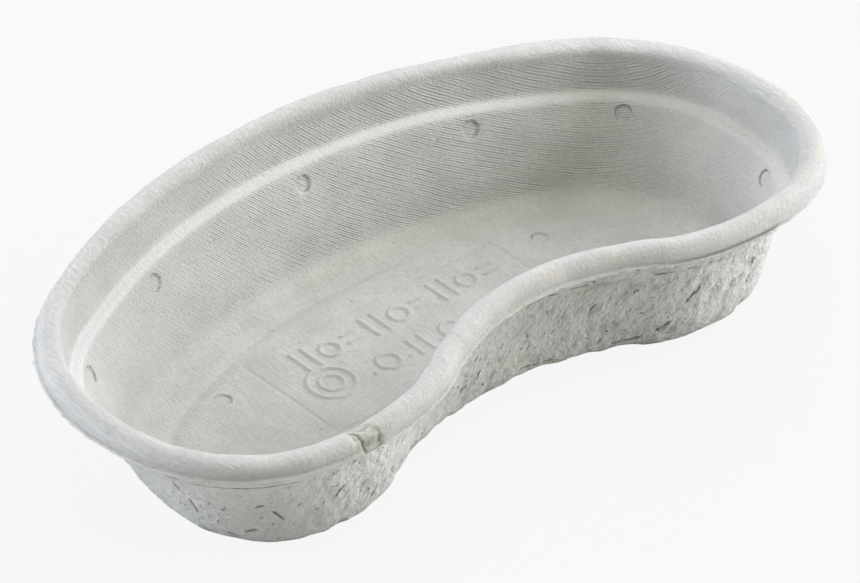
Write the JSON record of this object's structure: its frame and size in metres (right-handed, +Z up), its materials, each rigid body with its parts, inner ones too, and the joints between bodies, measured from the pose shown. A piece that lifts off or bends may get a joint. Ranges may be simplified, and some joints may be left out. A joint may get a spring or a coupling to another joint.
{
  "type": "kidney dish",
  "caption": "Disposable kidney-shaped dish moulded from paper pulp, with a rolled rim, a stepped wall and a flat floor.",
  "frame": {"origin": "centre of the bounding box in X and Y, on the plane of the flat underside", "axes": "+X along the length, +Y from the hollow side towards the long curved back, +Z up"},
  "size_m": [0.262, 0.1365, 0.047],
  "materials": {
    "moulded_pulp": "matte"
  },
  "bodies": {
    "root": {"dish_shell": "moulded_pulp"}
  },
  "joints": []
}
